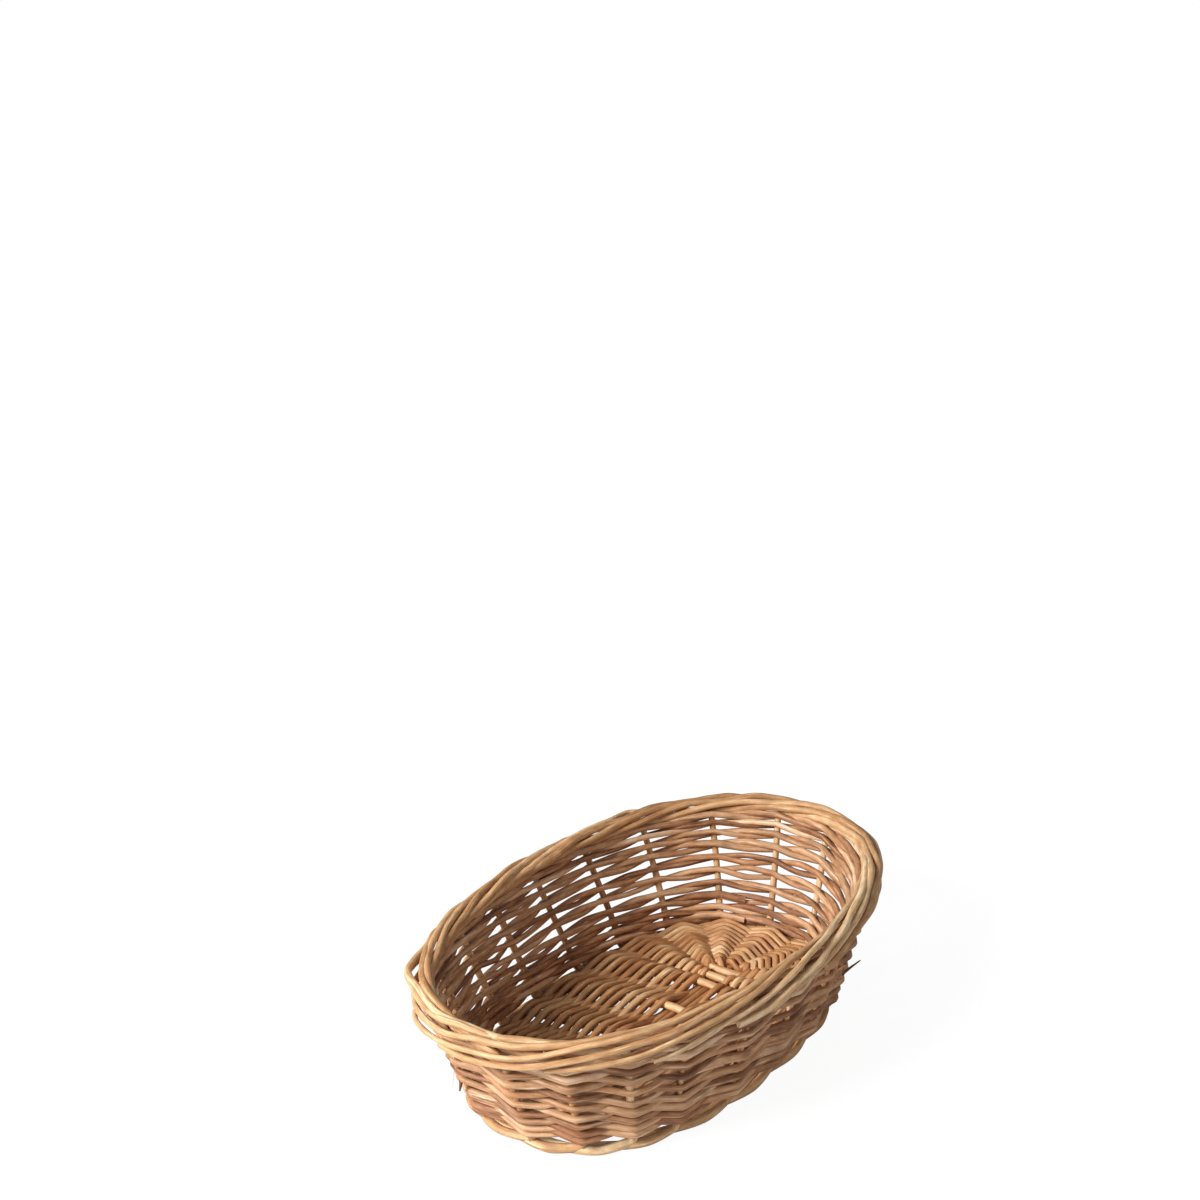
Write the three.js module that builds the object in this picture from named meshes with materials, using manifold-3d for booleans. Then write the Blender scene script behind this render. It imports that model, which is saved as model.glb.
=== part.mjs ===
// An oval willow bread basket, built rod by rod as a basket maker builds it: a base of crossed sticks
// and paired weavers, stakes that rise from a twisted foot and roll over into the border, and paired
// weavers winding up the sides. Millimetres, +Z up, X along the basket, origin under its middle.
import * as THREE from 'three';
import { mergeVertices } from 'three/addons/utils/BufferGeometryUtils.js';
import Module from 'manifold-3d';

const wasm = await Module();
wasm.setup();

// Overall sizes
const rimLength = 300; // over the border
const rimWidth = 180;
const footLength = 240; // over the foot
const footWidth = 142;
const overallHeight = 75;
const rimRoundness = 2.15; // power of the oval: 2 is an ellipse, more is squarer
const footRoundness = 2.4;
const wallBulge = 0.1; // 0 is a straight flare, more is fuller near the foot

// Rods
const stakeDiameter = 3.4;
const sideWeaverDiameter = 2.4;
const baseStickDiameter = 3.8;
const baseWeaverDiameter = 1.7;
const rodGap = 0.3; // between rods that touch
const endGap = 2.4; // between one rod's end and the next rod that carries on from it
const jointShift = 5; // stakes that each joint moves on from the joint below it

// Base
const longStickCount = 3;
const crossStickCount = 7;
const crossStickPitch = 13; // along the middle of the base
const baseClearance = 1.2; // under the lowest base weaver
const slathMargin = 5; // bare sticks round the crossing before the weaving starts
const longArmSpread = 8.5; // spacing that the long sticks need before weavers pass between them
const baseWeaveEdge = 2; // bare stick ends outside the last round
const baseSteepness = 0.5; // extra room over a stick, because base weavers cross it steeply
const turnsPerBaseRod = 2;
const baseRodPairs = 4;

// Side, border and foot
const turnsPerSideRod = 2;
const sideSteepness = 0.4; // extra room beside a stake, because weavers cross it at a slant
const borderStrands = 5; // stake tops lying side by side in the border
const borderSpread = 0.9; // how much wider than tall half the border is
const borderEndShare = 0.4; // how far past its last stake a top runs
const footStrands = 2;
const footEndShare = 0.72;
const footFlat = 0.6; // worn off the foot where it stands

const stakeCount = 2 * (longStickCount + crossStickCount);
const stakeRadius = stakeDiameter / 2;
const stickRadius = baseStickDiameter / 2;
const sideRadius = sideWeaverDiameter / 2;
const baseRadius = baseWeaverDiameter / 2;

// Facets
const stakeSides = 5;
const weaverSides = 4;
const footSteps = 4; // rings between one stake and the next
const borderSteps = 2;
const uprightSteps = 5;

const buff = new THREE.MeshStandardMaterial({ color: 0xb98a5a, roughness: 0.6, metalness: 0 });
const tan = new THREE.MeshStandardMaterial({ color: 0xa97c52, roughness: 0.65, metalness: 0 });
const pale = new THREE.MeshStandardMaterial({ color: 0xc9a06a, roughness: 0.6, metalness: 0 });

const basket = new THREE.Group();

// Rods

// A path with one ring of the rod at each of its points.
class RodPath extends THREE.CatmullRomCurve3 {
  getUtoTmapping(u) {
    return u;
  }
}

function rodSection(radius, sides) {
  const corners = Array.from({ length: sides }, (_, i) => {
    const turn = (2 * Math.PI * i) / sides;
    return new THREE.Vector2(radius * Math.cos(turn), radius * Math.sin(turn));
  });
  return new THREE.Shape(corners);
}

function rodGeometry(points, radius, sides) {
  return new THREE.ExtrudeGeometry(rodSection(radius, sides), {
    steps: points.length - 1,
    extrudePath: new RodPath(points),
    bevelEnabled: false,
  });
}

function addRod(name, geometry, material) {
  const rod = new THREE.Mesh(geometry, material);
  rod.name = name;
  basket.add(rod);
}

function solidOf(geometry) {
  const bare = geometry.clone().deleteAttribute('normal').deleteAttribute('uv');
  const merged = mergeVertices(bare, 1e-3);
  return new wasm.Manifold(new wasm.Mesh({
    numProp: 3,
    vertProperties: merged.attributes.position.array,
    triVerts: new Uint32Array(merged.index.array),
  }));
}

function geometryOf(solid) {
  const mesh = solid.getMesh();
  const geometry = new THREE.BufferGeometry();
  geometry.setAttribute('position', new THREE.BufferAttribute(mesh.vertProperties, mesh.numProp));
  geometry.setIndex(new THREE.BufferAttribute(mesh.triVerts, 1));
  return geometry;
}

// What lies below the table top is worn off.
function standFlat(geometry) {
  const depth = 2 * stakeDiameter;
  const worn = new THREE.BoxGeometry(2 * rimLength, 2 * rimWidth, depth).translate(0, 0, -depth / 2);
  return geometryOf(solidOf(geometry).subtract(solidOf(worn)));
}

// The wall

// Ropes of stake ends: the foot twists upright, the border lies a little flat.
const footReach = (stakeDiameter + rodGap) / (2 * Math.cos(Math.PI / footStrands / footSteps));
const footLevel = footReach + stakeRadius - footFlat;
const borderRise = (stakeDiameter + rodGap) / (2 * Math.sin(Math.PI / borderStrands));
const borderReach = borderRise + borderSpread;
const borderLevel = overallHeight - borderRise - stakeRadius;

const wall = {
  low: footLevel,
  high: borderLevel,
  lowHalf: [footLength / 2 - footReach - stakeRadius, footWidth / 2 - footReach - stakeRadius],
  highHalf: [rimLength / 2 - borderReach - stakeRadius, rimWidth / 2 - borderReach - stakeRadius],
};

const power = (value, exponent) => Math.sign(value) * Math.abs(value) ** exponent;

// The middle of the wall at an angle round the oval and a height.
function wallLine(angle, height) {
  const rise = THREE.MathUtils.clamp((height - wall.low) / (wall.high - wall.low), 0, 1);
  const climb = rise + wallBulge * rise * (1 - rise);
  const roundness = THREE.MathUtils.lerp(footRoundness, rimRoundness, climb);
  return new THREE.Vector2(
    THREE.MathUtils.lerp(wall.lowHalf[0], wall.highHalf[0], climb) * power(Math.cos(angle), 2 / roundness),
    THREE.MathUtils.lerp(wall.lowHalf[1], wall.highHalf[1], climb) * power(Math.sin(angle), 2 / roundness),
  );
}

// Angles at equal steps round the wall at mid height, so that the stakes stand evenly.
const finePoints = 2000;
const fineLengths = [0];
for (let i = 1; i <= finePoints; i += 1) {
  const middle = (wall.low + wall.high) / 2;
  const from = wallLine((2 * Math.PI * (i - 1)) / finePoints, middle);
  const to = wallLine((2 * Math.PI * i) / finePoints, middle);
  fineLengths.push(fineLengths[i - 1] + from.distanceTo(to));
}

// The angle of a place counted in stakes: 0 is the +X end, and half numbers lie between two stakes.
function angleAt(place) {
  const turns = Math.floor(place / stakeCount);
  const length = (place / stakeCount - turns) * fineLengths[finePoints];
  const next = Math.max(1, fineLengths.findIndex((reached) => reached >= length));
  const share = (length - fineLengths[next - 1]) / (fineLengths[next] - fineLengths[next - 1]);
  return 2 * Math.PI * (turns + (next - 1 + share) / finePoints);
}

// A point near the wall: a place in stakes, a height, and a distance out from the wall's middle.
function wallPoint(place, height, out) {
  const angle = angleAt(place);
  const nudge = 0.01;
  const along = wallLine(angle + nudge, height).sub(wallLine(angle - nudge, height)).normalize();
  const middle = wallLine(angle, height);
  return new THREE.Vector3(middle.x + along.y * out, middle.y - along.x * out, height);
}

const stakeSpacing = fineLengths[finePoints] / stakeCount;

// The places of one weaver's rings: at each stake, halfway to the next, and just short of the next rod.
function weaverPlaces(start, run) {
  const places = evenSteps(start, start + run, 2 * run);
  places[places.length - 1] -= endGap / stakeSpacing;
  return places;
}

function evenSteps(from, to, steps) {
  return Array.from({ length: steps + 1 }, (_, i) => THREE.MathUtils.lerp(from, to, i / steps));
}

// Stakes: twisted into the foot, up the wall, and rolled over into the border

function footPoint(stake, run) {
  const twist = Math.PI / 2 - (2 * Math.PI * run) / footStrands;
  const point = wallPoint(stake - run, footLevel, footReach * Math.cos(twist));
  point.z = footLevel + footReach * Math.sin(twist);
  return point;
}

function borderPoint(stake, run) {
  const twist = -Math.PI / 2 - (2 * Math.PI * run) / borderStrands;
  const point = wallPoint(stake - run, borderLevel, borderReach * Math.cos(twist));
  point.z = borderLevel + borderRise * Math.sin(twist);
  return point;
}

function stakePoints(stake) {
  const footRun = footStrands - 1 + footEndShare;
  const borderRun = borderStrands - 1 + borderEndShare;
  const foot = evenSteps(footRun, 0, Math.ceil(footRun * footSteps)).map((run) => footPoint(stake, run));
  const border = evenSteps(0, borderRun, Math.ceil(borderRun * borderSteps)).map((run) => borderPoint(stake, run));
  const upright = evenSteps(foot.at(-1).z, border[0].z, uprightSteps).slice(1, -1);
  return [...foot, ...upright.map((height) => wallPoint(stake, height, 0)), ...border];
}

// The second half of the stakes is the first half turned round.
for (let stake = 0; stake < stakeCount; stake += 1) {
  const half = stakeCount / 2;
  const rod = rodGeometry(stakePoints(stake % half), stakeRadius, stakeSides);
  rod.rotateZ(Math.PI * Math.floor(stake / half));
  addRod(`stake_${String(stake + 1).padStart(2, '0')}`, standFlat(rod), buff);
}

// Base: crossed sticks, then weavers in pairs that pass over and under them

const overStick = stickRadius + baseRadius + rodGap + baseSteepness;
const baseLevel = baseClearance + overStick + baseRadius;
const crossLift = (baseStickDiameter + rodGap) / 2;
const longStickPitch = baseStickDiameter + rodGap;
const slathHalfWidth = ((longStickCount - 1) / 2) * longStickPitch + stickRadius;
const slathHalfLength = ((crossStickCount - 1) / 2) * crossStickPitch + stickRadius;
const stickEndOut = -(stakeRadius + 2 * rodGap);

// Where the sticks cross, at the foot of each of the arms that they stretch out to the stakes.
// Arms are numbered as the stakes are: the long sticks' +X ends lie either side of number 0.
function armRoot(arm) {
  const long = (longStickCount - 1) / 2;
  const half = stakeCount / 2;
  const offset = ((arm + long + stakeCount) % stakeCount) - long;
  if (offset <= long) {
    return new THREE.Vector2(slathHalfLength, offset * longStickPitch);
  }
  if (offset < half - long) {
    const across = (crossStickCount - 1) / 2 - (offset - long - 1);
    return new THREE.Vector2(across * crossStickPitch, slathHalfWidth);
  }
  return armRoot(arm - half).multiplyScalar(-1);
}

function armEnd(arm) {
  const end = wallPoint(arm, footLevel, stickEndOut);
  return new THREE.Vector2(end.x, end.y);
}

function stickPoints(arm, oppositeArm, lift) {
  const ends = [arm, oppositeArm].map((number) => [armRoot(number), armEnd(number)]);
  const bend = (root, end) => root.clone().lerp(end, slathMargin / root.distanceTo(end));
  const flat = [ends[0][1], bend(...ends[0]), ends[0][0], ends[1][0], bend(...ends[1]), ends[1][1]];
  const lifts = [0, 0, lift, lift, 0, 0];
  return flat.map((point, i) => new THREE.Vector3(point.x, point.y, baseLevel + lifts[i]));
}

for (let i = 0; i < longStickCount; i += 1) {
  const arm = i - (longStickCount - 1) / 2;
  const stick = rodGeometry(stickPoints(arm, stakeCount / 2 - arm, -crossLift), stickRadius, stakeSides);
  addRod(`base_long_stick_${i + 1}`, stick, pale);
}

for (let i = 0; i < crossStickCount; i += 1) {
  const arm = (longStickCount + 1) / 2 + i;
  const stick = rodGeometry(stickPoints(arm, stakeCount - arm, crossLift), stickRadius, stakeSides);
  addRod(`base_cross_stick_${i + 1}`, stick, pale);
}

// The share of an arm where the weaving starts: past the crossing, and where its neighbours are apart.
function weaveStart(arm) {
  const start = (one) => slathMargin / armRoot(one).distanceTo(armEnd(one));
  const spread = (share, one, two) => {
    const [first, second] = [one, two].map((number) => armRoot(number).lerp(armEnd(number), share));
    return first.distanceTo(second);
  };
  let share = start(arm);
  while (spread(share, arm, arm + 1) < longArmSpread || spread(share, arm, arm - 1) < longArmSpread) {
    share += 0.01;
  }
  return share;
}

const weaveStarts = Array.from({ length: stakeCount }, (_, arm) => weaveStart(arm));
const weaveEnds = Array.from({ length: stakeCount }, (_, arm) => (
  1 - baseWeaveEdge / armRoot(arm).distanceTo(armEnd(arm))
));

// A point of the base at a place in stakes, at a share of the woven stretch of its arm.
function basePoint(place, share) {
  const onArm = (arm) => {
    const number = ((arm % stakeCount) + stakeCount) % stakeCount;
    const along = THREE.MathUtils.lerp(weaveStarts[number], weaveEnds[number], share);
    return armRoot(number).lerp(armEnd(number), along);
  };
  const before = Math.floor(place);
  return onArm(before).lerp(onArm(before + 1), place - before);
}

const baseRun = turnsPerBaseRod * stakeCount + jointShift; // stakes that one rod passes
const baseTurns = (baseRodPairs * baseRun) / stakeCount;
const basePitch = 1 / (baseTurns + 0.5); // share of an arm that one round of a pair takes

function baseWeaverPoints(pair, strand) {
  return weaverPlaces(pair * baseRun, baseRun).map((place) => {
    const twist = Math.PI * (place + strand);
    const share = basePitch * (place / stakeCount + 0.25 + 0.25 * Math.sin(twist));
    const flat = basePoint(place, share);
    return new THREE.Vector3(flat.x, flat.y, baseLevel + overStick * Math.cos(twist));
  });
}

for (let pair = 0; pair < baseRodPairs; pair += 1) {
  ['a', 'b'].forEach((letter, strand) => {
    const rod = rodGeometry(baseWeaverPoints(pair, strand), baseRadius, weaverSides);
    addRod(`base_weaver_${pair + 1}${letter}`, rod, tan);
  });
}

// Sides: weavers in pairs that pass in front of and behind the stakes, winding upwards

const sideBottom = baseLevel + stickRadius + rodGap;
const sideTop = borderLevel - borderRise - stakeRadius - rodGap;
const leastPitch = 2 * (sideWeaverDiameter + rodGap);
const mostTurns = (sideTop - sideBottom - sideWeaverDiameter) / leastPitch - 0.5;
const sideRun = turnsPerSideRod * stakeCount + jointShift; // stakes that one rod passes
const sideRodPairs = Math.floor((mostTurns * stakeCount) / sideRun);
const sideTurns = (sideRodPairs * sideRun) / stakeCount;
const sidePitch = (sideTop - sideBottom - sideWeaverDiameter) / (sideTurns + 0.5);
const besideStake = stakeRadius + sideRadius + rodGap + sideSteepness;

function sideWeaverPoints(pair, strand) {
  return weaverPlaces(pair * sideRun, sideRun).map((place) => {
    const twist = Math.PI * (place + strand);
    const rounds = place / stakeCount + 0.25 + 0.25 * Math.sin(twist);
    return wallPoint(place, sideBottom + sideRadius + sidePitch * rounds, besideStake * Math.cos(twist));
  });
}

for (let pair = 0; pair < sideRodPairs; pair += 1) {
  ['a', 'b'].forEach((letter, strand) => {
    const rod = rodGeometry(sideWeaverPoints(pair, strand), sideRadius, weaverSides);
    addRod(`side_weaver_${pair + 1}${letter}`, rod, tan);
  });
}

export default basket;
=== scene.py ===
import math
import random

import bpy
import numpy as np
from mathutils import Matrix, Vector


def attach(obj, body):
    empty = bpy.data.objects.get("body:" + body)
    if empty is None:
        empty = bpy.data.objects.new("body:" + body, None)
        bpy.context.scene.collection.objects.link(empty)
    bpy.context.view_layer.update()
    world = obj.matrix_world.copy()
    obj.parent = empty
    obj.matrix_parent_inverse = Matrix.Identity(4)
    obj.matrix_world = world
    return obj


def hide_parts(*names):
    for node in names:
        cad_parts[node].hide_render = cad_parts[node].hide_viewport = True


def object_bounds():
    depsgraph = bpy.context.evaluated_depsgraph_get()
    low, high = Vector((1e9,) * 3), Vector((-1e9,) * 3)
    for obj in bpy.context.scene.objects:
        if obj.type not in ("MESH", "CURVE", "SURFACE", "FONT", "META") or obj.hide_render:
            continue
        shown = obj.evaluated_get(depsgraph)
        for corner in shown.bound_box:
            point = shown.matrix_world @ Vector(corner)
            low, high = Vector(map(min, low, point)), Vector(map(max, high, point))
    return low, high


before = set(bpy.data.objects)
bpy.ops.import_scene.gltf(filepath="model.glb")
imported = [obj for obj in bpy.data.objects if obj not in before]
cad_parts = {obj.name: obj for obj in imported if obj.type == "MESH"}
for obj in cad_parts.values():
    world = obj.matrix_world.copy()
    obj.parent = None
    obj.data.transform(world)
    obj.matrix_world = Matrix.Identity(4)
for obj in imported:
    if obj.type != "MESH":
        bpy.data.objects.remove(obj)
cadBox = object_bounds()
cadHigh = np.array(cadBox[1])
print("frame loaded, box", cadBox)

scene = bpy.context.scene
scene.view_settings.view_transform = "Standard"

# the oval wall, as in the solids (metres); a place on it is counted in stakes from the +X end
wall = {
    "stakes": 20,
    "footLength": 0.240,
    "footWidth": 0.142,
    "rimRoundness": 2.15,      # power of the oval, 2 is an ellipse
    "footRoundness": 2.4,
    "bulge": 0.1,              # 0 is a straight flare
    "footReach": 0.0020,       # half the twist of the foot
    "footLevel": 0.0031,
    "borderReach": 0.0049,     # half the width between border strands
    "borderRise": 0.00315,
    "stakeRadius": 0.0017,
    "turned": 0.5,             # stakes stand this share of a space past the +X end
    "lean": 0.55,              # spaces that the far stakes lean from foot to border
    "leanAt": 3.5,
    "leanWidth": 5.0,
    # uneven spacing: a stake's number, then the spaces it stands past its even place
    "shifts": ((0.5, 0.0), (4.5, 0.53), (6.0, 0.42), (10.0, -0.10),
               (13.0, -0.80), (17.0, -0.30), (19.0, 0.10)),
}
rimHalf = cadHigh[:2]
height = cadHigh[2]
footHalf = np.array([wall["footLength"], wall["footWidth"]]) / 2
lowHalf = footHalf - wall["footReach"] - wall["stakeRadius"]
highHalf = rimHalf - wall["borderReach"] - wall["stakeRadius"]
borderLevel = height - wall["borderRise"] - wall["stakeRadius"]
stakeCount = wall["stakes"]


def signedPower(value, power):
    return np.sign(value) * np.abs(value) ** power


def riseAt(level):
    # share of the way from the foot up to the border
    return np.clip((level - wall["footLevel"]) / (borderLevel - wall["footLevel"]), 0, 1)


def wallLine(angle, level):
    rise = riseAt(level)
    climb = rise + wall["bulge"] * rise * (1 - rise)
    roundness = wall["footRoundness"] + (wall["rimRoundness"] - wall["footRoundness"]) * climb
    halfX, halfY = (low + (high - low) * climb for low, high in zip(lowHalf, highHalf))
    x = halfX * signedPower(np.cos(angle), 2 / roundness)
    y = halfY * signedPower(np.sin(angle), 2 / roundness)
    return np.stack([x, y], -1)


def lengthsAlong(path):
    return np.concatenate([[0], np.cumsum(np.linalg.norm(np.diff(path, axis=0), axis=1))])


# angles at equal steps round the middle of the wall
fineAngles = np.linspace(0, 2 * math.pi, 2001)
middleLevels = np.full(len(fineAngles), (wall["footLevel"] + borderLevel) / 2)
fineLengths = lengthsAlong(wallLine(fineAngles, middleLevels))
stakeSpacing = fineLengths[-1] / stakeCount


def angleAt(place):
    turns = np.floor(place / stakeCount)
    length = (place / stakeCount - turns) * fineLengths[-1]
    return 2 * math.pi * turns + np.interp(length, fineLengths, fineAngles)


def wallPoint(place, level, out):
    # a point beside the wall, square to its slope
    place, level, out = np.broadcast_arrays(*(np.asarray(v, float) for v in (place, level, out)))
    turn, step = 0.01, 0.001        # small moves along the wall and up it
    angle = angleAt(place)
    along = wallLine(angle + turn, level) - wallLine(angle - turn, level)
    along /= np.linalg.norm(along, axis=-1, keepdims=True)
    outward = np.stack([along[..., 1], -along[..., 0]], -1)
    climb = wallLine(angle, level + step) - wallLine(angle, level - step)
    slope = (climb * outward).sum(-1) / (2 * step)
    out = out / np.sqrt(1 + slope ** 2)
    flat = wallLine(angle, level) + outward * out[..., None]
    return np.concatenate([flat, (level - slope * out)[..., None]], -1)


def stakeAt(number, level):
    # where a stake stands: unevenly spaced, and leaning on one long side
    away = (number - wall["leanAt"] + stakeCount / 2) % stakeCount - stakeCount / 2
    lean = wall["lean"] * np.exp(-(away / wall["leanWidth"]) ** 2)
    shift = np.interp(number, *np.transpose(wall["shifts"]), period=stakeCount)
    return number + wall["turned"] + shift - lean * (1 - riseAt(level))


# helpers for the paths of rods
def drift(place, seed, rates=(0.21, 0.47, 1.13)):
    # slow wander of a hand-laid rod, about -1 to 1
    dice = random.Random(seed)
    total = np.zeros_like(place)
    for rate in rates:
        total += np.sin(2 * math.pi * (rate * place + dice.random())) * dice.uniform(0.3, 0.7)
    return total / (0.5 * len(rates))


def jitter(place, seed, step=0.5):
    # uneven hand work: a new straight run at each stake and halfway between
    dice = random.Random(seed)
    spots = np.arange(math.floor(place.min()), place.max() + 1 + step, step)
    return np.interp(place, spots, [dice.uniform(-1, 1) for _ in spots])


def zigzag(turn, sharpness=0.996):
    # straight runs with a bend at each stake: 1 at turn 0, -1 at turn pi
    return np.arcsin(sharpness * np.cos(turn)) / math.asin(sharpness)


def corner(before, knee, after, count):
    # points of a round bend
    t = np.linspace(0, 1, count + 2)[1:-1, None]
    return (1 - t) ** 2 * before + 2 * t * (1 - t) * knee + t ** 2 * after


def soften(points, rounds):
    points = points.copy()
    for _ in range(rounds):
        points[1:-1] = (points[:-2] + 2 * points[1:-1] + points[2:]) / 4
    return points


def rod(points, radii, tone, seed):
    count = len(points)
    return {"points": points, "rodRadius": radii,
            "tone": np.full(count, tone), "rodSeed": np.full(count, seed)}


# helpers for node trees
def socket(node, name, kind="inputs"):
    return next(s for s in getattr(node, kind) if s.name == name and s.enabled)


def link(tree, source, target):
    tree.links.new(source, target)


def feed(tree, value, slot):
    # another node's output, a colour or a number
    if hasattr(value, "links"):
        link(tree, value, slot)
    elif isinstance(value, tuple):
        slot.default_value = (*value, 1)
    else:
        slot.default_value = value


def attribute(tree, name, output="Fac"):
    node = tree.nodes.new("ShaderNodeAttribute")
    node.attribute_name = name
    return node.outputs[output]


def maths(tree, operation, *values):
    node = tree.nodes.new("ShaderNodeMath")
    node.operation = operation
    for slot, value in zip(node.inputs, values):
        feed(tree, value, slot)
    return node.outputs[0]


def ramp(tree, value, stops):
    node = tree.nodes.new("ShaderNodeValToRGB")
    elements = node.color_ramp.elements
    while len(elements) < len(stops):
        elements.new(0.5)
    for element, (position, colour) in zip(elements, stops):
        element.position = position
        element.color = (*colour, 1)
    link(tree, value, node.inputs[0])
    return node.outputs[0]


def noise(tree, vector, scale, detail, roughness):
    node = tree.nodes.new("ShaderNodeTexNoise")
    link(tree, vector, node.inputs["Vector"])
    node.inputs["Scale"].default_value = scale
    node.inputs["Detail"].default_value = detail
    node.inputs["Roughness"].default_value = roughness
    return node.outputs["Fac"]


def mixColour(tree, factor, first, second, blend="MIX"):
    node = tree.nodes.new("ShaderNodeMix")
    node.data_type = "RGBA"
    node.blend_type = blend
    # of its inputs, 0 is the factor and 6 and 7 are the colours
    for index, value in ((0, factor), (6, first), (7, second)):
        feed(tree, value, node.inputs[index])
    return node.outputs[2]


def srgb(*colour):
    values = (v / 255 for v in colour)
    return tuple(v / 12.92 if v <= 0.04 else ((v + 0.055) / 1.055) ** 2.4 for v in values)


def newMaterial(name):
    material = bpy.data.materials.new(name)
    material.use_nodes = True
    tree = material.node_tree
    return material, tree, tree.nodes["Principled BSDF"]


# willow bark
bark = {
    # noises laid along a rod: scale across it and along it, detail, roughness
    "fine": (3.4, 55, 4.0, 0.6),
    "broad": (0.7, 14, 2.0, 0.5),
    "specks": (2.2, 420, 2.0, 0.5),
    "scuffs": (1.2, 38, 3.0, 0.6),
    "mottle": (1.0, 140, 3.0, 0.6),
    # the noise at which each effect is nil, then its strength
    "streakTone": (0.5, 0.5),
    "blotchTone": (0.5, 0.75),
    "scuffTone": (0.57, 2.4),
    "mottleTone": (0.5, 0.7),
    "speckMarks": (0.6, 1.5),
    "knotMarks": (0.42, 1.8),
    "gloss": (0.3, 0.42),           # share of the fine noise in the roughness, then the least
    "speckRelief": 0.5,
    "seedShift": 7.31,              # moves the noises on from rod to rod
    "redSeed": 17.3,                # picks the rods that are redder
    "redness": 0.55,
    "redTint": (1.0, 0.80, 0.66),
    "markColour": srgb(78, 42, 20),
    "tones": (                      # from dark brown rods to pale golden ones
        (0.00, srgb(96, 56, 32)),
        (0.25, srgb(150, 102, 68)),
        (0.50, srgb(188, 143, 103)),
        (0.75, srgb(216, 180, 143)),
        (1.00, srgb(244, 223, 197)),
    ),
    "relief": 0.6,
    "reliefDepth": 0.0003,
}


def makeRodGrain():
    # tone, marks, gloss and relief of willow, laid along each rod
    tree = bpy.data.node_groups.new("rodGrain", "ShaderNodeTree")
    for name in ("Shade", "Marks", "Gloss", "Relief", "Redness"):
        tree.interface.new_socket(name, in_out="OUTPUT", socket_type="NodeSocketFloat")
    outputs = tree.nodes.new("NodeGroupOutput")
    section = tree.nodes.new("ShaderNodeSeparateXYZ")
    link(tree, attribute(tree, "section", "Vector"), section.inputs[0])
    along = attribute(tree, "along")
    seed = attribute(tree, "rodSeed")
    shift = maths(tree, "MULTIPLY", seed, bark["seedShift"])

    def layer(name):
        across, lengthwise, detail, roughness = bark[name]
        vector = tree.nodes.new("ShaderNodeCombineXYZ")
        parts = (maths(tree, "MULTIPLY_ADD", section.outputs[0], across, shift),
                 maths(tree, "MULTIPLY", section.outputs[1], across),
                 maths(tree, "MULTIPLY_ADD", along, lengthwise, shift))
        for part, slot in zip(parts, vector.inputs):
            link(tree, part, slot)
        return noise(tree, vector.outputs[0], 1.0, detail, roughness)

    def effect(value, name):
        nil, strength = bark[name]
        return maths(tree, "MULTIPLY", maths(tree, "SUBTRACT", value, nil), strength)

    def total(first, *others):
        for other in others:
            first = maths(tree, "ADD", first, other)
        return first

    fine, broad, specks = layer("fine"), layer("broad"), layer("specks")
    scuffs = maths(tree, "MAXIMUM", effect(layer("scuffs"), "scuffTone"), 0.0)
    shade = total(attribute(tree, "tone"), effect(fine, "streakTone"), effect(broad, "blotchTone"),
                  scuffs, effect(layer("mottle"), "mottleTone"))
    knots = maths(tree, "MULTIPLY", attribute(tree, "knot"), effect(broad, "knotMarks"))
    marks = maths(tree, "MAXIMUM", effect(specks, "speckMarks"), knots)
    marks = maths(tree, "MINIMUM", maths(tree, "MAXIMUM", marks, 0.0), 1.0)
    gloss = maths(tree, "MULTIPLY_ADD", fine, *bark["gloss"])
    relief = maths(tree, "MULTIPLY_ADD", specks, bark["speckRelief"], fine)
    redder = maths(tree, "FRACT", maths(tree, "MULTIPLY", seed, bark["redSeed"]))
    redness = maths(tree, "MULTIPLY", maths(tree, "POWER", redder, 2.0), bark["redness"])
    for result, slot in zip((shade, marks, gloss, relief, redness), outputs.inputs):
        link(tree, result, slot)
    return tree


rodGrain = makeRodGrain()


def makeBark(name, tint):
    material, tree, shader = newMaterial(name)
    grain = tree.nodes.new("ShaderNodeGroup")
    grain.node_tree = rodGrain
    tone = ramp(tree, grain.outputs["Shade"], bark["tones"])
    colour = mixColour(tree, 1.0, tone, tint, "MULTIPLY")
    colour = mixColour(tree, grain.outputs["Redness"], colour, bark["redTint"], "MULTIPLY")
    colour = mixColour(tree, grain.outputs["Marks"], colour, bark["markColour"])
    link(tree, colour, shader.inputs["Base Color"])
    link(tree, grain.outputs["Gloss"], shader.inputs["Roughness"])
    bump = tree.nodes.new("ShaderNodeBump")
    bump.inputs["Strength"].default_value = bark["relief"]
    bump.inputs["Distance"].default_value = bark["reliefDepth"]
    link(tree, grain.outputs["Relief"], bump.inputs["Height"])
    link(tree, bump.outputs[0], shader.inputs["Normal"])
    return material


# pale mottled wood of a cut end
cutEnd = {
    "mottle": (1400, 3.0, 0.55),
    "tones": ((0.3, srgb(196, 152, 104)), (0.7, srgb(238, 208, 164))),
    "roughness": 0.75,
}


def makeCutWood():
    material, tree, shader = newMaterial("cutWood")
    coords = tree.nodes.new("ShaderNodeTexCoord")
    mottle = noise(tree, coords.outputs["Object"], *cutEnd["mottle"])
    link(tree, ramp(tree, mottle, cutEnd["tones"]), shader.inputs["Base Color"])
    shader.inputs["Roughness"].default_value = cutEnd["roughness"]
    return material


sideBark = makeBark("sideBark", (1.0, 1.0, 1.0))
stakeBark = makeBark("stakeBark", (0.95, 0.93, 0.80))
baseBark = makeBark("baseBark", (1.0, 0.95, 0.80))
cutWood = makeCutWood()
print("materials made")

# thickness of willow along a rod
growth = {
    "rodStep": 31.7,            # moves the knots on from rod to rod
    "pieceStep": 0.37,          # and from piece to piece
    "knotSharpness": 11.0,
    "wanderRate": 1.7,          # waves of thickness from knot to knot
}


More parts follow.
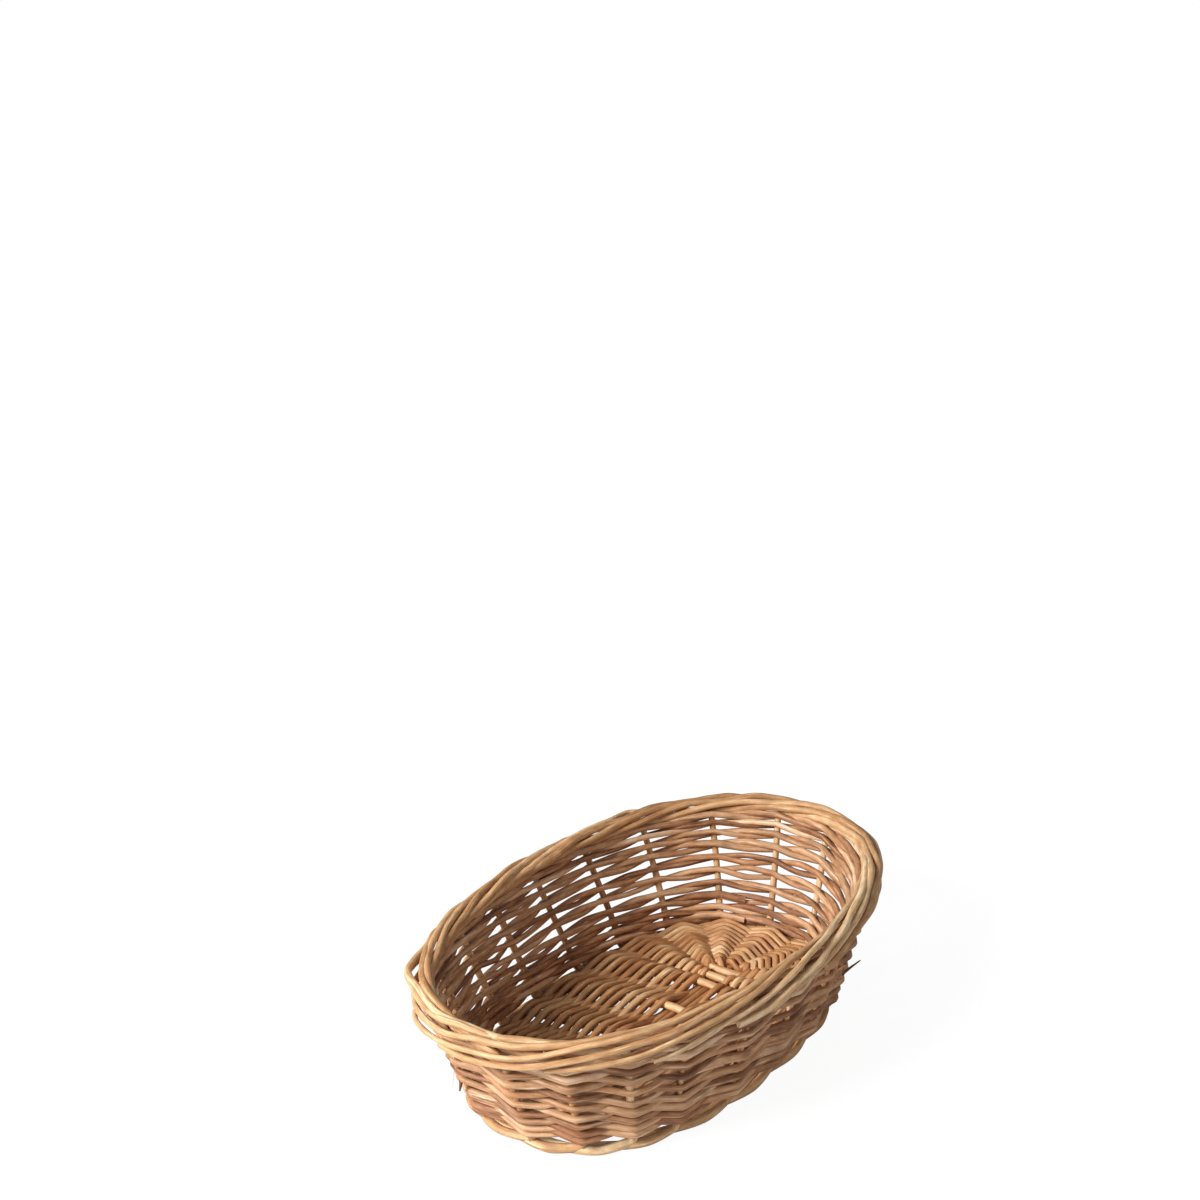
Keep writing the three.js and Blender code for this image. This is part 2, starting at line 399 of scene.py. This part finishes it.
def makeWillowRods():
    # a tree that dresses paths as willow rods
    tree = bpy.data.node_groups.new("willowRods", "GeometryNodeTree")
    tree.is_modifier = True
    for name, kind in (("Geometry", "Geometry"), ("Sides", "Int"), ("Knot Spacing", "Float"),
                       ("Knot Swell", "Float"), ("Wobble", "Float"), ("Seed", "Int"),
                       ("Bark", "Material"), ("Cut", "Material")):
        tree.interface.new_socket(name, in_out="INPUT", socket_type="NodeSocket" + kind)
    tree.interface.new_socket("Geometry", in_out="OUTPUT", socket_type="NodeSocketGeometry")
    nodes = tree.nodes
    inputs = nodes.new("NodeGroupInput").outputs
    outputs = nodes.new("NodeGroupOutput").inputs

    def named(name):
        node = nodes.new("GeometryNodeInputNamedAttribute")
        node.data_type = "FLOAT"
        node.inputs["Name"].default_value = name
        return socket(node, "Attribute", "outputs")

    def store(geometry, name, value, kind="FLOAT"):
        node = nodes.new("GeometryNodeStoreNamedAttribute")
        node.data_type = kind
        node.domain = "POINT"
        node.inputs["Name"].default_value = name
        link(tree, geometry, node.inputs["Geometry"])
        link(tree, value, socket(node, "Value"))
        return node.outputs[0]

    # knots and slow waves of thickness
    curve = nodes.new("GeometryNodeMeshToCurve")
    link(tree, inputs["Geometry"], curve.inputs["Mesh"])
    along = nodes.new("GeometryNodeSplineParameter").outputs["Length"]
    where = maths(tree, "DIVIDE", along, inputs["Knot Spacing"])
    where = maths(tree, "MULTIPLY_ADD", named("rodSeed"), growth["rodStep"], where)
    where = maths(tree, "MULTIPLY_ADD", inputs["Seed"], growth["pieceStep"], where)
    cells = nodes.new("ShaderNodeTexVoronoi")
    cells.voronoi_dimensions = "1D"
    link(tree, where, cells.inputs["W"])
    cells.inputs["Scale"].default_value = 1
    knot = maths(tree, "MULTIPLY", cells.outputs["Distance"], growth["knotSharpness"])
    knot = maths(tree, "MAXIMUM", maths(tree, "SUBTRACT", 1.0, knot), 0.0)
    wander = nodes.new("ShaderNodeTexNoise")
    wander.noise_dimensions = "1D"
    link(tree, maths(tree, "MULTIPLY", where, growth["wanderRate"]), wander.inputs["W"])
    wander.inputs["Scale"].default_value = 1
    wave = maths(tree, "SUBTRACT", wander.outputs["Fac"], 0.5)
    swell = maths(tree, "MULTIPLY_ADD", knot, inputs["Knot Swell"], 1.0)
    swell = maths(tree, "MULTIPLY_ADD", wave, inputs["Wobble"], swell)
    radius = maths(tree, "MULTIPLY", named("rodRadius"), swell)

    # a round skin with closed ends
    path = store(curve.outputs[0], "along", along)
    path = store(path, "knot", knot)
    path = store(path, "girth", radius)
    circle = nodes.new("GeometryNodeCurvePrimitiveCircle")
    circle.inputs["Radius"].default_value = 1
    link(tree, inputs["Sides"], circle.inputs["Resolution"])
    position = nodes.new("GeometryNodeInputPosition").outputs[0]
    profile = store(circle.outputs[0], "section", position, "FLOAT_VECTOR")
    skin = nodes.new("GeometryNodeCurveToMesh")
    link(tree, path, skin.inputs["Curve"])
    link(tree, profile, skin.inputs["Profile Curve"])
    link(tree, named("girth"), skin.inputs["Scale"])
    skin.inputs["Fill Caps"].default_value = True

    # faces with more than four corners are the cut ends
    corners = nodes.new("GeometryNodeCornersOfFace").outputs["Total"]
    isCut = nodes.new("FunctionNodeCompare")
    isCut.data_type = "INT"
    isCut.operation = "GREATER_THAN"
    link(tree, corners, socket(isCut, "A"))
    socket(isCut, "B").default_value = 4
    notCut = nodes.new("FunctionNodeBooleanMath")
    notCut.operation = "NOT"
    link(tree, isCut.outputs[0], notCut.inputs[0])
    smooth = nodes.new("GeometryNodeSetShadeSmooth")
    link(tree, skin.outputs[0], smooth.inputs[0])
    link(tree, notCut.outputs[0], smooth.inputs["Shade Smooth"])
    barked = nodes.new("GeometryNodeSetMaterial")
    link(tree, smooth.outputs[0], barked.inputs[0])
    link(tree, inputs["Bark"], barked.inputs["Material"])
    cut = nodes.new("GeometryNodeSetMaterial")
    link(tree, barked.outputs[0], cut.inputs[0])
    link(tree, isCut.outputs[0], cut.inputs["Selection"])
    link(tree, inputs["Cut"], cut.inputs["Material"])
    link(tree, cut.outputs[0], outputs[0])
    return tree


willowRods = makeWillowRods()


def dressRods(name, rods, looks, replaced):
    # one piece from many paths
    mesh = bpy.data.meshes.new(name + "Paths")
    segments, start = [], 0
    for path in rods:
        stop = start + len(path["points"])
        segments += [(i, i + 1) for i in range(start, stop - 1)]
        start = stop
    mesh.from_pydata(np.concatenate([path["points"] for path in rods]).tolist(), segments, [])
    for key in ("rodRadius", "tone", "rodSeed"):
        data = np.concatenate([path[key] for path in rods]).astype(np.float32)
        mesh.attributes.new(key, "FLOAT", "POINT").data.foreach_set("value", data)
    paths = bpy.data.objects.new(name + "Paths", mesh)
    scene.collection.objects.link(paths)
    modifier = paths.modifiers.new("rods", "NODES")
    modifier.node_group = willowRods
    for item in willowRods.interface.items_tree:
        if item.in_out == "INPUT" and item.name in looks:
            modifier[item.identifier] = looks[item.name]
    evaluated = paths.evaluated_get(bpy.context.evaluated_depsgraph_get())
    skin = bpy.data.meshes.new_from_object(evaluated)
    skin.name = name
    piece = bpy.data.objects.new(name, skin)
    scene.collection.objects.link(piece)
    bpy.data.objects.remove(paths)
    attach(piece, "root")
    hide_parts(*replaced)
    triangles = sum(len(face.vertices) - 2 for face in skin.polygons)
    print(name, len(rods), "rods,", triangles, "triangles")


# stakes: a twisted foot, the upright, and a top rolled over into the border
stakes = {
    "buttRadius": 0.0023,
    "uprightRadius": 0.0017,
    "thinning": 0.015,              # height over which a butt thins to the upright
    "borderRadii": (0.0019, 0.0014),
    "borderGirths": (0.9, 1.1),     # thin and thick tops
    "girths": (0.92, 1.08),         # thin and thick rods
    "step": 0.06,                   # stakes between points of the foot and the border
    "uprightStep": 0.002,
    "footRun": (1.72, 1.95),        # stakes that the butt runs back along the foot
    "footTwist": 0.5,               # how much of its reach the twist rises and falls
    "footStand": 1.27,              # least height of a butt's middle, in butt radii
    "borderRun": (6.1, 6.9),        # stakes that the top runs back along the border
    "bend": 0.09,                   # stakes that a bend takes along the foot or the border
    "footBend": 0.003,              # height that it takes over the foot
    "borderBend": 0.0064,           # and under the border
    "bendPoints": 6,
    # the path across the border: stakes run, then millimetres out from the wall and up
    "roll": ((0.0, 0.0, -4.4), (0.5, -2.4, -2.2), (1.1, -3.9, 0.3), (2.0, -2.6, 2.6),
             (2.9, 0.6, 3.1), (3.7, 3.4, 1.6), (4.5, 4.9, -1.6), (5.3, 5.3, -5.0),
             (6.1, 4.9, -8.4), (6.9, 2.6, -10.4)),
    "unevenness": 0.0011,
    "settling": 1.2,                # stakes over which the unevenness grows
    "unevenStep": 3.7,              # moves the unevenness on from rod to rod
    # place and size of the elbows where a top stands out from the border
    "elbows": ((8.2, 0.0036), (5.3, 0.0018), (2.7, 0.0078), (0.6, 0.0018), (19.4, 0.0028),
               (18.6, 0.0022), (15.1, 0.0016), (12.4, 0.0018), (10.6, 0.0022)),
    "elbowRuns": (3.6, 4.6),        # how far the top that bends there has run
    "elbowHalf": 0.45,
    "tones": (0.32, 0.84),
    "looks": {"Sides": 12, "Knot Spacing": 0.07, "Knot Swell": 0.10, "Wobble": 0.16, "Seed": 3,
              "Bark": stakeBark, "Cut": cutWood},
}
roll = np.array(stakes["roll"]) * (1, 0.001, 0.001)
footTop = wall["footLevel"] + wall["footReach"]


def footPoint(place, run):
    twist = math.pi / 2 - math.pi * run
    points = wallPoint(place - run, wall["footLevel"], wall["footReach"] * np.cos(twist))
    level = wall["footLevel"] + stakes["footTwist"] * wall["footReach"] * np.sin(twist)
    points[..., 2] = np.maximum(level, stakes["footStand"] * stakes["buttRadius"])
    return points


def borderPoint(place, run, out=0.0, up=0.0):
    across = np.interp(run, roll[:, 0], roll[:, 1])
    above = np.interp(run, roll[:, 0], roll[:, 2])
    points = wallPoint(place - run, borderLevel, across + out)
    points[..., 2] = borderLevel + above + up
    return points


def stakeRod(number):
    dice = random.Random(100 + number)
    footRun = dice.uniform(*stakes["footRun"])
    borderRun = dice.uniform(*stakes["borderRun"])
    low, high = stakeAt(number, wall["footLevel"]), stakeAt(number, borderLevel)

    foot = footPoint(low, np.arange(footRun, stakes["bend"], -stakes["step"]))
    levels = np.arange(footTop + stakes["footBend"], borderLevel - stakes["borderBend"],
                       stakes["uprightStep"])
    upright = wallPoint(stakeAt(number, levels), levels, 0.0)
    runs = np.arange(stakes["bend"], borderRun, stakes["step"])
    uneven = runs + number * stakes["unevenStep"]
    ease = stakes["unevenness"] * np.clip((runs - stakes["bend"]) / stakes["settling"], 0, 1)
    out, up = ease * jitter(uneven, 300 + number), ease * jitter(uneven, 500 + number)
    for spot, size in stakes["elbows"]:
        elbow = (high - spot) % stakeCount
        if stakes["elbowRuns"][0] <= elbow < stakes["elbowRuns"][1]:
            out = out + size * np.clip(1 - np.abs(runs - elbow) / stakes["elbowHalf"], 0, 1)
    border = borderPoint(high, runs, out, up)

    bendPoints, buttRadius = stakes["bendPoints"], stakes["buttRadius"]
    uprightRadius = stakes["uprightRadius"]
    points = np.concatenate([
        foot, corner(foot[-1], footPoint(low, 0.0), upright[0], bendPoints),
        upright, corner(upright[-1], borderPoint(high, 0.0), border[0], bendPoints),
        soften(border, 1)])
    radii = np.concatenate([
        np.full(len(foot) + bendPoints, buttRadius),
        np.interp(levels, (footTop, footTop + stakes["thinning"]), (buttRadius, uprightRadius)),
        np.full(bendPoints, uprightRadius),
        np.linspace(*stakes["borderRadii"], len(border)) * dice.uniform(*stakes["borderGirths"])])
    radii *= dice.uniform(*stakes["girths"])
    return rod(points, radii, dice.uniform(*stakes["tones"]), dice.random())


dressRods("stakes", [stakeRod(i) for i in range(stakeCount)], stakes["looks"],
          [f"stake_{i + 1:02d}" for i in range(stakeCount)])

# side weavers: pairs in flat rows, in front of and behind each stake
sides = {
    "radius": (0.0014, 0.00195),
    "butt": 1.12,                   # share of the radius at the butt
    "taper": 0.26,                  # share lost from butt to tip
    "flare": 0.0007,                # the most that a thick butt adds
    "flareFade": 10,
    "tipThinning": 0.35,
    "swing": 0.04,                  # rods are this much thicker on the near side than the mean
    "swingAt": 14,
    "detail": 22,                   # points from stake to stake
    "bottom": 0.0082,
    "raised": 0.0024,               # how much higher the first rows lie at the -X end
    "top": 0.0670,
    "rows": 10,
    "packing": 0.22,                # how much closer rows lie at the foot and the border
    "stepAt": 16.3,                 # place where each row steps up to the next one
    "stepLength": 3.2,
    "crossing": 0.25,               # rows that a strand climbs and falls as it crosses its partner
    "crossingBend": 0.93,
    "outsideDrop": 0.12,            # rows that a strand lies lower outside a stake than inside
    "joints": ((1, 41), ()),        # stakes where the first rods of each strand end
    "rodRun": (16, 26),             # stakes that a later rod passes
    "shortest": 8,                  # least number of stakes that the last rod passes
    "jointed": (8, 18),             # the other joints lie at these stakes of a turn
    "lap": 0.5,                     # stakes that a butt starts before its stake
    "tipRun": (0.4, 1.3),           # stakes that a tip runs on beside the next butt
    "doubling": 0.0011,             # how far a tip and a butt side by side move apart
    "doublingRun": 1.8,
    "doublingBend": 0.7,
    "bow": 0.0025,                  # how far a rod swings out and in round the stakes
    "thickBow": 0.5,                # share of a thick rod's extra radius that adds to it
    "taut": 0.85,                   # 0 follows the oval between stakes, 1 runs straight
    "buttIn": 0.0016,               # how far a butt turns in
    "tipOut": 0.0012,               # how far a tip turns away from its stake
    "endRun": 0.8,
    "endBend": 1.5,
    "wander": 0.0014,
    "wanderSeed": 17,
    "wanderRates": (0.05, 0.15, 0.4),
    "edgeSlack": 0.05,              # share of the height where the wander is least, at both edges
    "jitter": 0.6,                  # share of the wander that each rod has alone
    "roughness": 0.0003,
    "tones": (0.14, 0.73),
    "looks": {"Sides": 10, "Knot Spacing": 0.085, "Knot Swell": 0.12, "Wobble": 0.2, "Seed": 5,
              "Bark": sideBark, "Cut": cutWood},
}
rowSpan = sides["rows"] - 0.5
sidePitch = (sides["top"] - sides["bottom"] - 2 * sides["radius"][0]) / rowSpan
firstPlace = sides["stepAt"] - stakeCount
lastPlace = firstPlace + sides["rows"] * stakeCount


def rowsBelow(place):
    # flat rows, each stepping up over a few stakes
    turns = (place - sides["stepAt"] + stakeCount) / stakeCount
    part = turns - np.floor(turns)
    climb = np.clip(part * stakeCount / sides["stepLength"], 0, 1)
    return np.maximum(np.floor(turns) - 1 + climb * climb * (3 - 2 * climb), 0)


def nearEnd(distance, run, bend):
    # 1 at the end of a rod, 0 a few stakes away from it
    return np.clip(1 - distance / run, 0, 1) ** bend


def sideRod(first, last, strand, seed):
    dice = random.Random(seed)
    place = np.linspace(first, last, int((last - first) * sides["detail"]))
    fromButt, fromTip = place - first, last - place
    share = fromButt / (last - first)
    twist = math.pi * (place + strand)
    atButt, atTip = (nearEnd(distance, sides["doublingRun"], sides["doublingBend"])
                     for distance in (fromButt, fromTip))

    thin = sides["radius"][0]
    radius = dice.uniform(*sides["radius"])
    flare = sides["flare"] * dice.random() * np.exp(-share * sides["flareFade"])
    radii = radius * (sides["butt"] - sides["taper"] * share) + flare
    radii *= 1 - sides["tipThinning"] * atTip
    radii *= 1 + sides["swing"] * np.cos(2 * math.pi * (place - sides["swingAt"]) / stakeCount)

    rise = (rowsBelow(place) + sides["crossing"]) / rowSpan
    spread = 1 - sides["packing"] * np.cos(2 * math.pi * rise)
    rise -= sides["packing"] * np.sin(2 * math.pi * rise) / (2 * math.pi)
    crossing = sides["crossing"] * zigzag(twist + math.pi / 2, sides["crossingBend"])
    rows = rise * rowSpan + spread * (crossing - sides["outsideDrop"] * zigzag(twist))
    level = sides["bottom"] + thin + sidePitch * rows
    lowRows = np.clip(1 - 2 * rise, 0, 1)
    level -= sides["raised"] * lowRows * np.cos(2 * math.pi * place / stakeCount)
    slack = np.sin(math.pi * np.clip(rise, sides["edgeSlack"], 1 - sides["edgeSlack"]))
    wander = drift(place % stakeCount, sides["wanderSeed"], sides["wanderRates"])
    level += sides["wander"] * slack * (wander + sides["jitter"] * jitter(place, seed))
    level += sides["doubling"] * (atButt - atTip)

    out = (sides["bow"] + sides["thickBow"] * (radius - thin)) * zigzag(twist)
    out += sides["roughness"] * jitter(place, seed + 50)
    tipSide = np.sign(np.cos(math.pi * (round(last) + strand)))
    out -= sides["buttIn"] * nearEnd(fromButt, sides["endRun"], sides["endBend"])
    out += sides["tipOut"] * tipSide * nearEnd(fromTip, sides["endRun"], sides["endBend"])

    before = np.floor(place)
    posts = [wallPoint(stakeAt(stake, level), level, 0.0) for stake in (before, before + 1)]
    straight = posts[0] + (posts[1] - posts[0]) * (place - before)[:, None]
    around = stakeAt(place, level)
    points = wallPoint(around, level, out)
    points += sides["taut"] * (straight - wallPoint(around, level, 0.0))
    return rod(points, radii, dice.uniform(*sides["tones"]), dice.random())


def sideStrand(strand):
    # rods that take over from each other, from the foot up to the border
    dice = random.Random(40 + strand)
    joints = list(sides["joints"][strand])
    rods, place = [], firstPlace
    while place < lastPlace - 1:
        stop = math.floor(place) + dice.randint(*sides["rodRun"])
        if not sides["jointed"][0] <= stop % stakeCount < sides["jointed"][1]:
            stop += (dice.randrange(*sides["jointed"]) - stop) % stakeCount
        stop = joints.pop(0) if joints else stop
        stop += (stop + strand + 1) % 2         # a butt lies inside a stake
        if stop > lastPlace - sides["shortest"]:
            stop = lastPlace
        first = max(place - sides["lap"], firstPlace)
        last = min(stop + dice.uniform(*sides["tipRun"]), lastPlace)
        rods.append(sideRod(first, last, strand, 1000 + 100 * strand + len(rods)))
        place = stop
    return rods


# loose ends that stick out of the wall
strays = {
    # place, height, length, radius and climb
    "tips": ((16.9, 0.027, 0.008, 0.0010, 1.2), (9.4, 0.044, 0.008, 0.00013, -0.9),
             (9.6, 0.040, 0.006, 0.00013, -0.2), (9.4, 0.034, 0.005, 0.0013, -0.7)),
    "points": 14,
    "along": 0.4,                   # share of the length that runs along the wall
    "out": 0.8,                     # share that stands out of it
    "start": 0.0028,                # how far outside the wall a tip starts
    "climbBend": 1.3,
    "outBend": 1.4,
    "thinning": 0.7,
    "tones": (0.0, 0.35),
}


def strayTip(place, level, length, radius, climb, seed):
    dice = random.Random(seed)
    share = np.linspace(0, 1, strays["points"])
    along = strays["along"] * length / stakeSpacing * share
    up = length * climb * share ** strays["climbBend"]
    out = strays["start"] + strays["out"] * length * share ** strays["outBend"]
    points = wallPoint(place + along, level + up, out)
    radii = radius * (1 - strays["thinning"] * share)
    return rod(points, radii, dice.uniform(*strays["tones"]), dice.random())


strayTips = [strayTip(*tip, 700 + i) for i, tip in enumerate(strays["tips"])]
for strand, letter in enumerate("ab"):
    dressRods("sideWeavers" + letter.upper(), sideStrand(strand) + strayTips[strand::2],
              sides["looks"], [f"side_weaver_{i}{letter}" for i in range(1, 5)])

# base: sticks crossed in the middle, and pairs of weavers round them
base = {
    "stickRadius": 0.0019,
    "crossRadius": 0.0022,
    "weaverRadius": 0.0018,
    "stickTaper": (1.06, 0.92),
    "weaverTaper": (1.08, 0.92),
    "level": 0.0061,
    "longSticks": 3,
    "stickGap": 0.0003,
    # places of the cross sticks along the long ones, from the +X end
    "crossSpots": (0.058, 0.0505, 0.042, 0.012, -0.022, -0.046, -0.057),
    "stakeGap": 0.0006,             # between a stick's end and the stakes
    "stickBend": 0.007,             # from the crossing out to where a stick lies level
    "stickStep": 0.002,
    "stickSoftening": 3,
    "slathMargin": -0.0024,         # from the crossing out to the first row
    "armSpread": 0.0046,            # least space between arms that weavers pass between
    "armStep": 0.01,                # share of an arm
    "edge": -0.0012,                # from the end of an arm in to the last row
    "openArms": (11, 12, 13),       # arms where a gap is left between the base and the foot
    "openEdge": 0.0065,
    "turns": 10.8,
    "startAt": 0.5,
    "rodRun": (24, 40),
    "detail": 12,                   # points from arm to arm
    "rowMiddle": 0.25,
    "crossing": 0.22,               # rows that a strand moves as it crosses its partner
    "bend": 0.97,
    "wander": 0.006,                # share of an arm
    "liftWander": 0.0002,
    "longTones": (0.25, 0.5),
    "crossTones": (0.62, 0.85),
    "weaverTones": (0.28, 0.68),
    "looks": {"Sides": 8, "Knot Spacing": 0.08, "Knot Swell": 0.06, "Wobble": 0.14, "Seed": 9,
              "Bark": baseBark, "Cut": cutWood},
}
longPitch = 2 * base["stickRadius"] + base["stickGap"]
slathHalfWidth = (base["longSticks"] - 1) / 2 * longPitch + base["stickRadius"]
crossCount = len(base["crossSpots"])
crossLift = base["stickRadius"] + base["stickGap"] / 2
overStick = base["stickRadius"] + base["weaverRadius"]
longReach = (base["longSticks"] - 1) // 2       # long arms on each side of the middle one
half = stakeCount // 2


def armRoot(arm):
    # where an arm of the cross leaves the middle: long arms at both ends, cross arms between
    spots = base["crossSpots"]
    offset = (arm + longReach) % stakeCount - longReach
    if offset <= longReach:
        return np.array([spots[0] + base["stickRadius"], offset * longPitch])
    if offset < half - longReach:
        return np.array([spots[offset - longReach - 1], slathHalfWidth])
    if offset <= half + longReach:
        return np.array([spots[-1] - base["stickRadius"], (half - offset) * longPitch])
    return np.array([spots[stakeCount - longReach - 1 - offset], -slathHalfWidth])


def armEnd(arm):
    return wallPoint(arm, wall["footLevel"], -wall["stakeRadius"] - base["stakeGap"])[:2]


roots = np.array([armRoot(arm) for arm in range(stakeCount)])
ends = np.array([armEnd(arm) for arm in range(stakeCount)])
armLengths = np.linalg.norm(ends - roots, axis=1)


def alongArm(arm, share):
    return roots[arm] + (ends[arm] - roots[arm]) * share


def weaveStart(arm):
    # share of an arm where the first row passes it and its neighbours are far enough apart
    share = base["slathMargin"] / armLengths[arm]
    while True:
        gaps = [np.linalg.norm(alongArm(arm, share) - alongArm(neighbour, share))
                for neighbour in ((arm + 1) % stakeCount, arm - 1)]
        if min(gaps) >= base["armSpread"]:
            return share
        share += base["armStep"]


starts = np.array([weaveStart(arm) for arm in range(stakeCount)])
edges = np.full(stakeCount, base["edge"])
edges[list(base["openArms"])] = base["openEdge"]
stops = 1 - edges / armLengths


def basePoint(place, share):
    before = np.floor(place).astype(int)
    mix = (place - before)[:, None]
    spots = []
    for arm in (before % stakeCount, (before + 1) % stakeCount):
        along = starts[arm] + (stops[arm] - starts[arm]) * share
        spots.append(alongArm(arm, along[:, None]))
    return spots[0] * (1 - mix) + spots[1] * mix


def stickRod(arm, opposite, radius, lift, tones, seed):
    dice = random.Random(seed)
    keys = []
    for number in (arm, opposite):
        bend = alongArm(number, base["stickBend"] / armLengths[number])
        keys.append([(*ends[number], 0), (*bend, 0), (*roots[number], lift)])
    path = np.array(keys[0] + keys[1][::-1], float)
    path[:, 2] += base["level"]
    lengths = lengthsAlong(path)
    spots = np.arange(0, lengths[-1], base["stickStep"])
    points = np.stack([np.interp(spots, lengths, path[:, axis]) for axis in range(3)], -1)
    points = soften(points, base["stickSoftening"])
    radii = radius * np.linspace(*base["stickTaper"], len(points))
    return rod(points, radii, dice.uniform(*tones), dice.random())


def baseRod(first, last, strand, seed, dice):
    place = np.linspace(first, last, int((last - first) * base["detail"]))
    twist = math.pi * (place + strand)
    rows = place / stakeCount + base["rowMiddle"] + base["crossing"] * np.sin(twist)
    share = rows / (base["turns"] + 0.5) + base["wander"] * drift(place, seed)
    lift = base["level"] + overStick * zigzag(twist, base["bend"])
    lift += base["liftWander"] * drift(place, seed + 1)
    points = np.column_stack([basePoint(place, np.clip(share, 0, 1)), lift])
    radii = base["weaverRadius"] * np.linspace(*base["weaverTaper"], len(points))
    return rod(points, radii, dice.uniform(*base["weaverTones"]), dice.random())


def baseStrand(strand):
    dice = random.Random(70 + strand)
    outermost = base["turns"] * stakeCount
    rods, first = [], base["startAt"]
    while first < outermost - 1:
        last = min(first + dice.randint(*base["rodRun"]), outermost + 0.5)
        rods.append(baseRod(first, last, strand, 3000 + 100 * strand + len(rods), dice))
        first = last
    return rods


longRods = [stickRod(arm, half - arm, base["stickRadius"], -crossLift, base["longTones"],
                     61 + arm) for arm in range(-longReach, longReach + 1)]
crossRods = [stickRod(longReach + 1 + i, stakeCount - longReach - 1 - i, base["crossRadius"],
                      crossLift, base["crossTones"], 80 + i) for i in range(crossCount)]
dressRods("longSticks", longRods, base["looks"],
          [f"base_long_stick_{i + 1}" for i in range(base["longSticks"])])
dressRods("crossSticks", crossRods, base["looks"],
          [f"base_cross_stick_{i + 1}" for i in range(crossCount)])
dressRods("baseWeavers", baseStrand(0) + baseStrand(1), base["looks"],
          [f"base_weaver_{i}{letter}" for i in range(1, 5) for letter in "ab"])

# pale floor that stays white to the camera and keeps a soft shadow
floor = {
    "reach": 6.0,
    "grey": 0.6,
    "roughness": 0.9,
    "glow": 1.08,
    "farGlow": 0.12,                # added per metre away from the basket
    "farReach": 0.8,
    "glowShare": 0.86,              # the rest of what the camera sees is lit by the lamps
}


def makeFloor():
    mesh = bpy.data.meshes.new("floor")
    reach = floor["reach"]
    corners = [(-reach, -reach, 0), (reach, -reach, 0), (reach, reach, 0), (-reach, reach, 0)]
    mesh.from_pydata(corners, [], [(0, 1, 2, 3)])
    ground = bpy.data.objects.new("floor", mesh)
    scene.collection.objects.link(ground)
    material, tree, shader = newMaterial("paleFloor")
    shader.inputs["Base Color"].default_value = (floor["grey"], floor["grey"], floor["grey"], 1)
    shader.inputs["Roughness"].default_value = floor["roughness"]
    coords = tree.nodes.new("ShaderNodeTexCoord")
    away = tree.nodes.new("ShaderNodeVectorMath")
    away.operation = "LENGTH"
    link(tree, coords.outputs["Object"], away.inputs[0])
    far = maths(tree, "MINIMUM", away.outputs["Value"], floor["farReach"])
    glow = tree.nodes.new("ShaderNodeEmission")
    link(tree, maths(tree, "MULTIPLY_ADD", far, floor["farGlow"], floor["glow"]),
         glow.inputs["Strength"])
    rays = tree.nodes.new("ShaderNodeLightPath")
    mix = tree.nodes.new("ShaderNodeMixShader")
    link(tree, maths(tree, "MULTIPLY", rays.outputs["Is Camera Ray"], floor["glowShare"]),
         mix.inputs[0])
    link(tree, shader.outputs[0], mix.inputs[1])
    link(tree, glow.outputs[0], mix.inputs[2])
    link(tree, mix.outputs[0], tree.nodes["Material Output"].inputs["Surface"])
    mesh.materials.append(material)


makeFloor()
print("floor made")

# soft light from the upper left, a weak lamp from the right, and a white surround
light = {
    "world": 0.315,
    "key": {"power": 38, "size": 0.6, "spot": (-1.28, 0.42, 0.95)},
    "fill": {"power": 2.6, "size": 0.8, "spot": (-0.25, -1.4, 0.45)},
    "aim": (0, 0, 0.04),
}


def makeLamp(name, power, size, spot):
    lamp = bpy.data.lights.new(name, "AREA")
    lamp.energy = power
    lamp.shape = "DISK"
    lamp.size = size
    lampObject = bpy.data.objects.new(name, lamp)
    lampObject.location = spot
    aim = Vector(light["aim"]) - Vector(spot)
    lampObject.rotation_euler = aim.to_track_quat("-Z", "Y").to_euler()
    scene.collection.objects.link(lampObject)


def makeWorld():
    # white to the camera, dimmer as a light
    world = bpy.data.worlds.new("studio")
    scene.world = world
    world.use_nodes = True
    tree = world.node_tree
    backdrop = tree.nodes["Background"]
    backdrop.inputs["Color"].default_value = (1, 1, 1, 1)
    rays = tree.nodes.new("ShaderNodeLightPath")
    strength = maths(tree, "MULTIPLY_ADD", rays.outputs["Is Camera Ray"],
                     1 - light["world"], light["world"])
    link(tree, strength, backdrop.inputs["Strength"])


makeLamp("keyLamp", **light["key"])
makeLamp("fillLamp", **light["fill"])
makeWorld()
print("lights made")

# the camera of the photograph
view = {
    "azimuth": -55,
    "elevation": 29.95,
    "distance": 0.851,
    "target": (0, 0, 0.0375),
    "lens": 50.67,
    "sensor": 36,
    "shift": (-0.0503, 0.3062),
    "nearest": 0.01,
}
azimuth, elevation = math.radians(view["azimuth"]), math.radians(view["elevation"])
back = Vector((math.sin(azimuth) * math.cos(elevation),
               -math.cos(azimuth) * math.cos(elevation),
               math.sin(elevation)))
camera = bpy.data.cameras.new("camera")
camera.lens = view["lens"]
camera.sensor_width = view["sensor"]
camera.shift_x, camera.shift_y = view["shift"]
camera.clip_start = view["nearest"]
cameraObject = bpy.data.objects.new("camera", camera)
cameraObject.location = Vector(view["target"]) + back * view["distance"]
cameraObject.rotation_euler = (-back).to_track_quat("-Z", "Y").to_euler()
scene.collection.objects.link(cameraObject)
scene.camera = cameraObject
